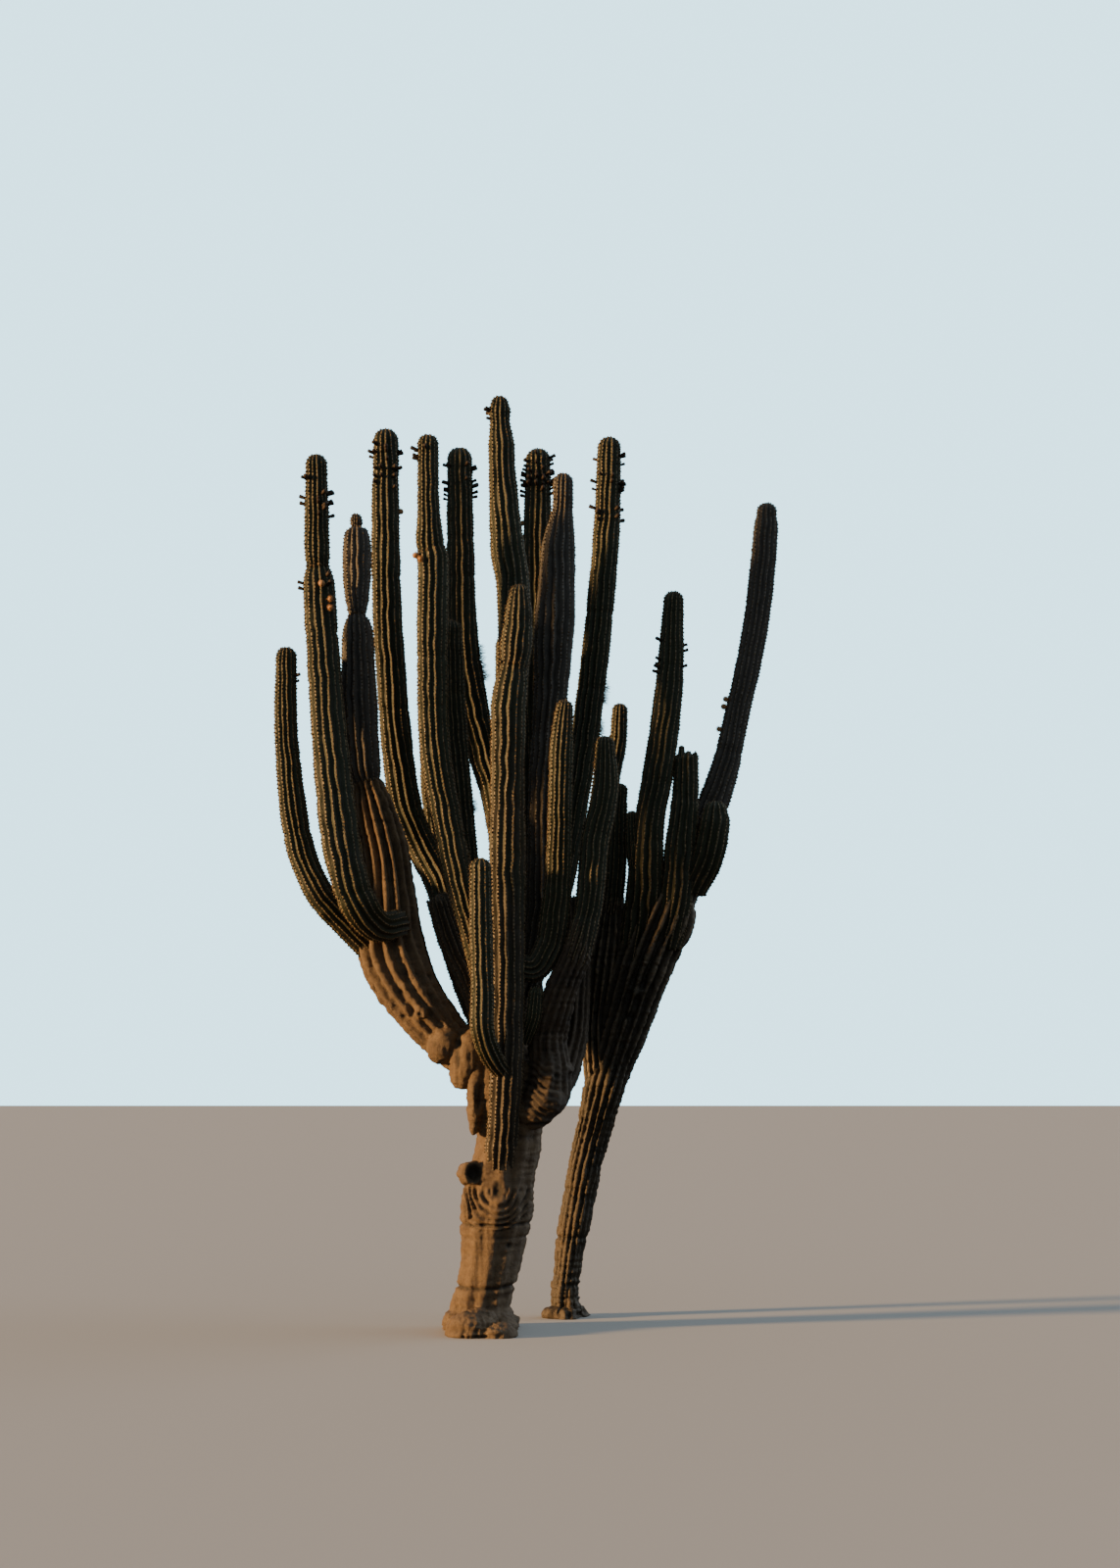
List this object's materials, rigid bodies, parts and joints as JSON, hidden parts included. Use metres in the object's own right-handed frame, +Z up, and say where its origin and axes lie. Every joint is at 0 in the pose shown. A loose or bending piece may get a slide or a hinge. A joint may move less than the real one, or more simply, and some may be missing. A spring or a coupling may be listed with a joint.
{
  "type": "cardon cactus, a large branching columnar cactus",
  "caption": "Old branching columnar cactus: a woody trunk and a leaning second stem carry boughs and tall ribbed arms with buds near their tips.",
  "frame": {"origin": "on the ground, at the centre of the flat cut under the main trunk", "axes": "+Z up, along the plant's height; -Y is the side that faces the camera; +X to the right seen from there"},
  "size_m": [3.5873, 2.1423, 6.536],
  "materials": {
    "bark": "matte grey-tan corky bark with deep sagging folds",
    "old_skin": "matte tan-brown old skin, ribs filling in, cracked and scarred",
    "green_skin": "matte to faintly waxy dark olive skin, tan knobbly rib crests",
    "grey_skin": "matte weathered grey-brown skin, ribs with grey crests",
    "spines_and_wool": "matte grey-tan wool pads and dull grey spines",
    "buds": "matte dark brown woolly buds",
    "fruit": "matte golden-tan bristly fruit"
  },
  "bodies": {
    "root": {"trunk": "bark", "trunk_behind": "old_skin", "bough_left": "old_skin", "bough_right": "old_skin", "bough_back": "old_skin", "bough_back_right": "old_skin", "bough_second_left": "old_skin", "bough_back_left": "green_skin", "bough_far_right": "green_skin", "stub_left": "old_skin", "stub_right": "green_skin", "pup_front": "green_skin", "arm_centre_front": "green_skin", "arm_centre_tall": "green_skin", "arm_front_short_elbow": "green_skin", "arm_front_short": "green_skin", "arm_far_left_elbow": "green_skin", "arm_far_left": "green_skin", "arm_left_elbow": "green_skin", "arm_left": "green_skin", "arm_left_jointed": "grey_skin", "arm_back_left": "green_skin", "arm_mid_left": "green_skin", "arm_mid_left_behind": "green_skin", "arm_behind_left": "green_skin", "arm_behind_centre": "green_skin", "arm_grey_top": "grey_skin", "arm_behind_right": "green_skin", "arm_right_hooked_elbow": "green_skin", "arm_right_hooked": "green_skin", "arm_right_front": "green_skin", "arm_right_upright": "green_skin", "arm_far_right": "green_skin", "arm_right_broken": "green_skin", "arm_right_short": "green_skin", "arm_slim_right": "green_skin", "arm_slim_low": "green_skin", "arm_back_centre": "green_skin", "arm_back_right": "green_skin", "arm_back_mid": "green_skin", "arm_back_far_left": "green_skin", "arm_back_far_right": "green_skin"}
  },
  "joints": []
}
